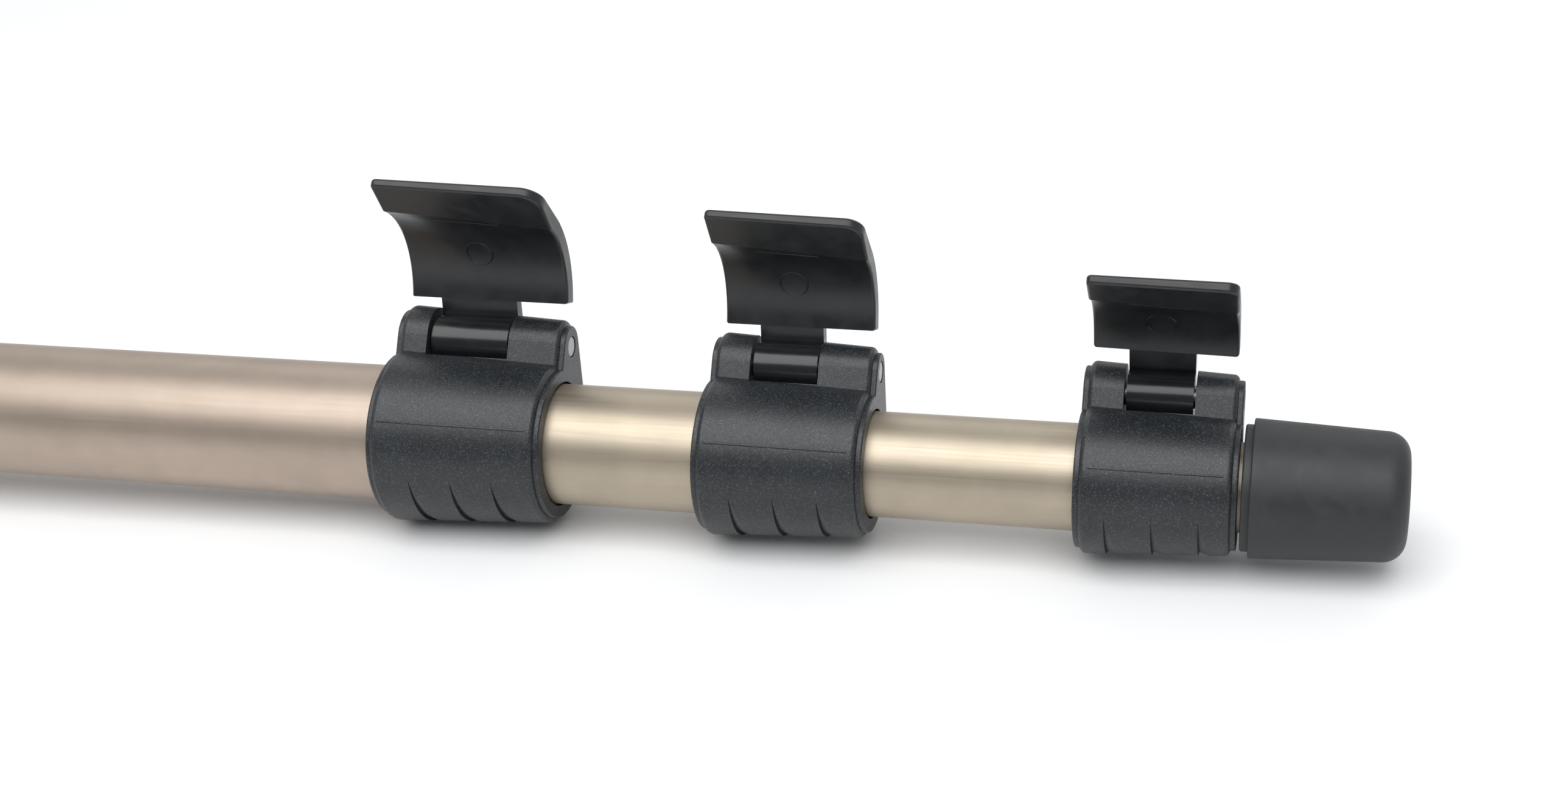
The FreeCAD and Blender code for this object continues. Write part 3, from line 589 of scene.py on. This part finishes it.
def modify(piece, kind, **settings):
    """Adds one modifier and applies it."""
    take(piece)
    modifier = piece.modifiers.new(kind.lower(), kind)
    for setting, value in settings.items():
        setattr(modifier, setting, value)
    bpy.ops.object.modifier_apply(modifier=modifier.name)


def hand_over(piece, body, finish, slot, *stands_for):
    """Gives a piece its finish and its body, and hides the CAD nodes that it stands for."""
    piece.data.materials.clear()
    piece.data.materials.append(finish.material)
    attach(piece, body)
    if stands_for:
        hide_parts(*stands_for)
    print(piece.name, "on", body, "-", len(piece.data.polygons), "faces")


def pick(piece, test):
    """In edit mode, selects only the faces that pass the test."""
    take(piece)
    bpy.ops.object.mode_set(mode="EDIT")
    bpy.ops.mesh.select_mode(type="FACE")
    bpy.ops.mesh.select_all(action="DESELECT")
    bpy.ops.object.mode_set(mode="OBJECT")
    for face in piece.data.polygons:
        face.select = test(face)
    bpy.ops.object.mode_set(mode="EDIT")


# %% [markdown]
# ## The mounting stud
# A microphone mount screws on to a 3/8 inch stud with sixteen threads to the inch. A stack of
# rings would only look like a thread, so one tooth of the thread is drawn, and the screw modifier
# winds it round while it climbs one pitch a turn. The winding is longer than the stud, and two
# bisect cuts trim it, which also closes the ends.


# %% Stud
def wound_thread(name, major, pitch, start, end):
    """A helical thread of this major radius along X, longer than asked for at both ends."""
    thread_depth = 0.6
    minor = major - thread_depth * pitch
    tooth = [(0.0, minor), (0.06, minor), (0.44, major), (0.56, major), (0.94, minor), (1.0, minor)]
    look_away()
    bpy.ops.mesh.primitive_grid_add(x_subdivisions=len(tooth) - 1, y_subdivisions=1, size=MM)
    piece = name_it(name)
    bpy.ops.object.mode_set(mode="EDIT")
    bpy.ops.mesh.bisect(plane_co=(0, 0, 0), plane_no=(0, 1, 0), clear_outer=True)
    bpy.ops.mesh.select_all(action="DESELECT")
    bpy.ops.object.mode_set(mode="OBJECT")
    for vertex in piece.data.vertices:
        vertex.select = vertex.co.y < -0.1 * MM
    bpy.ops.object.mode_set(mode="EDIT")
    bpy.ops.mesh.select_mode(type="VERT")
    bpy.ops.mesh.delete(type="VERT")
    bpy.ops.object.mode_set(mode="OBJECT")
    line = sorted(piece.data.vertices, key=lambda vertex: vertex.co.x)
    for vertex, (share, out) in zip(line, tooth):
        vertex.co = (start - pitch + share * pitch, 0, out)
    turns = math.ceil((end - start) / pitch) + 2
    modify(piece, "SCREW", axis="X", angle=2 * math.pi, screw_offset=pitch, iterations=turns,
           steps=64, render_steps=64, use_merge_vertices=True, merge_threshold=0.005 * MM)
    return piece


stud_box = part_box("mount_stud")
stud_radius = stud_box[1].z
stud_tip = stud_box[0].x
stud_root = 1.5 * MM
stud_pitch = 25.4 / 16 * MM
stud = wound_thread("stud_thread", stud_radius, stud_pitch, stud_tip, stud_root)
take(stud)
bpy.ops.object.mode_set(mode="EDIT")
for place, out in ((stud_tip, -1), (stud_root, 1)):
    bpy.ops.mesh.select_all(action="SELECT")
    bpy.ops.mesh.bisect(
        plane_co=(place, 0, 0), plane_no=(out, 0, 0), clear_outer=True, use_fill=True)
bpy.ops.mesh.select_all(action="SELECT")
bpy.ops.mesh.remove_doubles(threshold=0.004 * MM)
bpy.ops.mesh.normals_make_consistent(inside=False)
bpy.ops.object.mode_set(mode="OBJECT")

# %% [markdown]
# ## The stud's lead-in
# A stud is chamfered so that the first thread catches easily. Every point outside the cone of the
# chamfer is drawn in on to it.

# %% Lead-in at the stud's tip
chamfer = 0.9 * MM
for vertex in stud.data.vertices:
    out = math.hypot(vertex.co.y, vertex.co.z)
    allowed = stud_radius - chamfer + (vertex.co.x - stud_tip)
    if out > allowed:
        vertex.co.y *= allowed / out
        vertex.co.z *= allowed / out
smooth(stud, 40)
stud_zinc = steel_finish("stud_thread_zinc", (0.56, 0.56, 0.57), 0.28)
hand_over(stud, "pole_1", stud_zinc, "stud", "mount_stud")

# %% [markdown]
# ## The head
# The head is turned from bar, with a coin edge round its flange so that a hand can hold it while
# a mount is screwed on. The outline is that of the CAD node, with a shallow groove in the sleeve.
# The CAD node's two screw holes are left out, so the sleeve covers the grub screws.
# For the coin edge every second face of the rim is inset and pushed in.

# %% Head
head_low, head_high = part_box("head_cap")
flange_end = 10 * MM
sleeve_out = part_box("head_screws")[1].z + 0.33 * MM
tube_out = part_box("tube_1")[1].z
rim = head_high.z
bore_out = tube_out + 0.03 * MM
stud_hole = 4.1 * MM
head_outline = [
    (head_low.x, stud_hole), (head_low.x, rim - 1.5 * MM),
    (head_low.x + 0.4 * MM, rim - 0.7 * MM), (head_low.x + 1.2 * MM, rim),
    (flange_end - 1.2 * MM, rim), (flange_end - 0.4 * MM, rim - 0.7 * MM),
    (flange_end, rim - 1.5 * MM), (flange_end, sleeve_out + 0.6 * MM),
    (flange_end + 0.6 * MM, sleeve_out), (head_high.x - 3.2 * MM, sleeve_out),
    (head_high.x - 2.9 * MM, sleeve_out - 0.4 * MM),
    (head_high.x - 2.1 * MM, sleeve_out - 0.4 * MM),
    (head_high.x - 1.8 * MM, sleeve_out), (head_high.x - 0.5 * MM, sleeve_out),
    (head_high.x, sleeve_out - 0.5 * MM), (head_high.x, bore_out),
    (flange_end, bore_out), (flange_end, stud_hole),
]
rim_faces = 120
head = lathe("turned_head", head_outline, steps=rim_faces)


def every_second_on_rim(face):
    """True for every second face of the flange's rim, counted round the axis."""
    step = 2 * math.pi / rim_faces
    count = round(math.atan2(face.center.y, face.center.z) / step)
    return face.center.yz.length > rim - 0.05 * MM and count % 2 == 0


pick(head, every_second_on_rim)
bpy.ops.mesh.inset(thickness=0.16 * MM, use_individual=True)
bpy.ops.transform.shrink_fatten(value=-0.35 * MM)
bpy.ops.object.mode_set(mode="OBJECT")
smooth(head, 25)
hand_over(head, "pole_1", head_black, "head_metal", "head_cap")


# %% [markdown]
# ## Grub screws
# Two grub screws clamp the head on the tube. Each is a short cylinder with a hexagonal socket:
# its end face is inset, the inset ring is pulled on to a hexagon, and the face is sunk.


# %% Grub screws
def grub_screw(side):
    """One screw, its socket facing away from the axis: side is +1 above the pole, -1 below."""
    low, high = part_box("head_screws")
    foot, top = tube_out + 0.1 * MM, high.z
    middle = ((low.x + high.x) / 2, 0, side * (foot + top) / 2)
    look_away()
    bpy.ops.mesh.primitive_cylinder_add(
        vertices=48, radius=high.y - 0.04 * MM, depth=top - foot, location=middle)
    screw = name_it("grub_screw")
    bpy.ops.object.transform_apply(location=True)
    pick(screw, lambda face: side * face.normal.z > 0.9)
    bpy.ops.mesh.inset(thickness=0.75 * MM)
    bpy.ops.object.mode_set(mode="OBJECT")
    half_flats, inset_edge, socket_depth = 1.0 * MM, 1.4 * MM, 1.3 * MM
    for vertex in screw.data.vertices:
        offset = Vector((vertex.co.x - middle[0], vertex.co.y))
        if vertex.select and offset.length < inset_edge:
            turn = math.atan2(offset.y, offset.x) % (math.pi / 3) - math.pi / 6
            offset *= half_flats / math.cos(turn) / offset.length
            vertex.co.x, vertex.co.y = middle[0] + offset.x, offset.y
    bpy.ops.object.mode_set(mode="EDIT")
    sink = (0, 0, -side * socket_depth)
    bpy.ops.mesh.extrude_region_move(TRANSFORM_OT_translate={"value": sink})
    bpy.ops.object.mode_set(mode="OBJECT")
    return screw


upper, lower = grub_screw(1), grub_screw(-1)
look_away()
lower.select_set(True)
upper.select_set(True)
bpy.context.view_layer.objects.active = upper
bpy.ops.object.join()
screws = name_it("grub_screws")
smooth(screws, 30)
grub_steel = steel_finish("grub_steel", (0.10, 0.10, 0.105), 0.3)
hand_over(screws, "pole_1", grub_steel, "steel", "head_screws")

# %% [markdown]
# ## The head's pad
# A rubber ring keeps a mount from working loose. Concentric ribs on its face bite into the
# mount. The ribs are part of the outline, so one spin makes them all.

# %% Ribbed pad
pad_low, pad_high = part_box("head_pad")
pad_rim, pad_hole = pad_high.z, stud_radius + 0.5 * MM
ribs = 5
rib_gap = (pad_rim - pad_hole - 2 * MM) / ribs
groove = pad_low.x + 0.45 * MM
pad_outline = [
    (pad_high.x, pad_hole), (pad_low.x + 0.3 * MM, pad_hole), (pad_low.x, pad_hole + 0.3 * MM),
]
for rib in range(ribs):
    out = pad_hole + 1 * MM + rib * rib_gap
    pad_outline += [
        (pad_low.x, out), (groove, out + 0.3 * MM),
        (groove, out + 0.8 * MM), (pad_low.x, out + 1.1 * MM),
    ]
pad_outline += [
    (pad_low.x, pad_rim - 0.4 * MM), (pad_low.x + 0.4 * MM, pad_rim), (pad_high.x, pad_rim),
]
pad = lathe("ribbed_pad", pad_outline)
smooth(pad, 30)
hand_over(pad, "pole_1", foot_black, "pad_rubber", "head_pad")

# %% [markdown]
# ## The foam grip
# The grip is a sleeve of closed-cell foam pushed on over the tube. Its skin is not quite even:
# it swells and sinks by a few tenths of a millimetre, and it is full of cut cells. The swelling
# is modelled, with a displace modifier over a finely divided sleeve, and the cells are in the
# finish.


# %% Foam finish
def foam_finish():
    foam = Finish("closed_cell_foam", Roughness=0.85, IOR=1.45, Sheen_Weight=0.15)
    cells = foam.cells(0.55)
    fine = foam.noise(0.25, 3.0)
    foam.colour(foam.ramp(cells, [(0.15, (0.030, 0.031, 0.033)), (0.65, (0.012, 0.012, 0.013))]))
    foam.bump(cells, -0.16, 0.8)
    foam.bump(fine, 0.05, 0.6)
    return foam


# %% [markdown]
# ## Foam sleeve
# The outline goes up one end, round a soft corner, along the skin in short spans, and down the
# other end. Only the skin is displaced, so that the bore still fits the tube.

# %% Foam sleeve
foam_low, foam_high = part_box("foam_grip")
foam_rim, foam_bore = foam_high.z - 0.2 * MM, tube_out + 0.05 * MM
corner = 3 * MM
arc = []
for step in range(5, 0, -1):
    turn = step / 6 * math.pi / 2
    along = foam_low.x + corner * (1 - math.sin(turn))
    arc.append((along, foam_rim - corner * (1 - math.cos(turn))))
foam_outline = [(foam_low.x, foam_bore), (foam_low.x, foam_rim - corner)] + arc
spans = 60
for step in range(spans + 1):
    along = foam_low.x + corner + (foam_high.x - foam_low.x - 2 * corner) * step / spans
    foam_outline.append((along, foam_rim))
for along, out in reversed(arc):
    foam_outline.append((foam_low.x + foam_high.x - along, out))
foam_outline += [(foam_high.x, foam_rim - corner), (foam_high.x, foam_bore)]
foam = lathe("foam_sleeve", foam_outline, steps=120)
swell = bpy.data.textures.new("foam_swell", "CLOUDS")
swell.noise_scale = 9 * MM
take(foam)
outer = [v.index for v in foam.data.vertices if v.co.yz.length > foam_rim - 0.5 * MM]
skin = foam.vertex_groups.new(name="skin")
skin.add(outer, 1.0, "REPLACE")
modify(foam, "DISPLACE", texture=swell, texture_coords="LOCAL", strength=0.35 * MM,
       mid_level=0.6, vertex_group="skin")
smooth(foam, 50)
hand_over(foam, "pole_1", foam_finish(), "foam", "foam_grip")

# %% [markdown]
# ## Mould marks
# Moulded parts carry the marks of their tools. The two halves of the mould leave a fine raised
# line along each collar's front. An ejector pin leaves a ring on each lever's inner face, and a
# slide leaves a short line under the lip. They are fractions of a millimetre, but they catch the
# light. Each is laid on its part's surface, which is found by a ray.


# %% Strips and rings
def strip(name, points, width, height, body, finish, slot):
    """A thin raised line on a surface, between two (point, surface direction) pairs."""
    (start, normal), (end, _) = points
    along = (end - start).normalized()
    across = normal.cross(along).normalized()
    normal = along.cross(across)
    look_away()
    bpy.ops.mesh.primitive_cube_add(size=1)
    piece = name_it(name)
    turn = Matrix((along, across, normal)).transposed().to_4x4()
    size = Matrix.Diagonal(((end - start).length, width, height * 2, 1))
    piece.data.transform(Matrix.Translation((start + end) / 2) @ turn @ size)
    modify(piece, "BEVEL", width=height * 0.7, segments=2, limit_method="ANGLE")
    smooth(piece)
    hand_over(piece, body, finish, slot)


def ring_mark(name, place, normal, radius, width, height):
    """A thin raised ring on a surface."""
    look_away()
    bpy.ops.mesh.primitive_torus_add(
        major_radius=radius, minor_radius=width / 2, major_segments=64, minor_segments=10)
    piece = name_it(name)
    side = Vector((1, 0, 0))
    upward = normal.cross(side).normalized()
    turn = Matrix((upward.cross(normal), upward, normal)).transposed().to_4x4()
    piece.data.transform(Matrix.Diagonal((1, 1, height / width * 2, 1)))
    piece.data.transform(Matrix.Translation(place) @ turn)
    return piece


# %% [markdown]
# ## Parting lines
# A ray from in front of each collar finds its surface near both ends, and a strip joins the two
# places. It takes the collar's own finish, and so is seen only by its edge. The distances here
# are in millimetres.

# %% Parting lines on the collars
clear_of_collar, line_height = 40, 0.7
for lock in locks:
    node = f"collar_{lock.number}"
    spots = []
    for x in (lock.start + 2.4 * MM, lock.end - 2.6 * MM):
        forwards, upwards = lock.front * clear_of_collar * MM, lock.up * line_height * MM
        far_out = Vector((x, 0, 0)) + forwards + upwards
        spots.append(touch(node, far_out, -lock.front))
    strip(f"collar_{lock.number}_parting_line", spots, 0.36 * MM, 0.16 * MM,
          f"pole_{lock.number}", collar_black, "collar")

# %% [markdown]
# ## Marks inside the levers
# The levers stand open, so their inner faces are in full view. The rays start on the tube's axis,
# swung open with the lever, and go outwards.

# %% Marks inside the levers
ejector_angle, slide_angle = math.radians(60), math.radians(95)
marks = ((0.27, slide_angle), (0.68, slide_angle), (0.47, ejector_angle))
for lock, finish in zip(locks, lever_blacks):
    lever = f"lever_{lock.number}"
    width = lock.lever_end - lock.lever_start
    spots = []
    for share, angle in marks:
        start = lock.swung_point(Vector((lock.lever_start + share * width, 0, 0)))
        spots.append(touch(lever, start, lock.swung(lock.outward(angle))))
    strip(f"{lever}_slide_line", spots[:2], 0.34 * MM, 0.18 * MM, lever, finish, "lever")
    place, normal = spots[2]
    ring = ring_mark(f"{lever}_ejector_ring", place, normal, 2.7 * MM, 0.36 * MM, 0.24 * MM)
    smooth(ring)
    hand_over(ring, lever, finish, "lever")
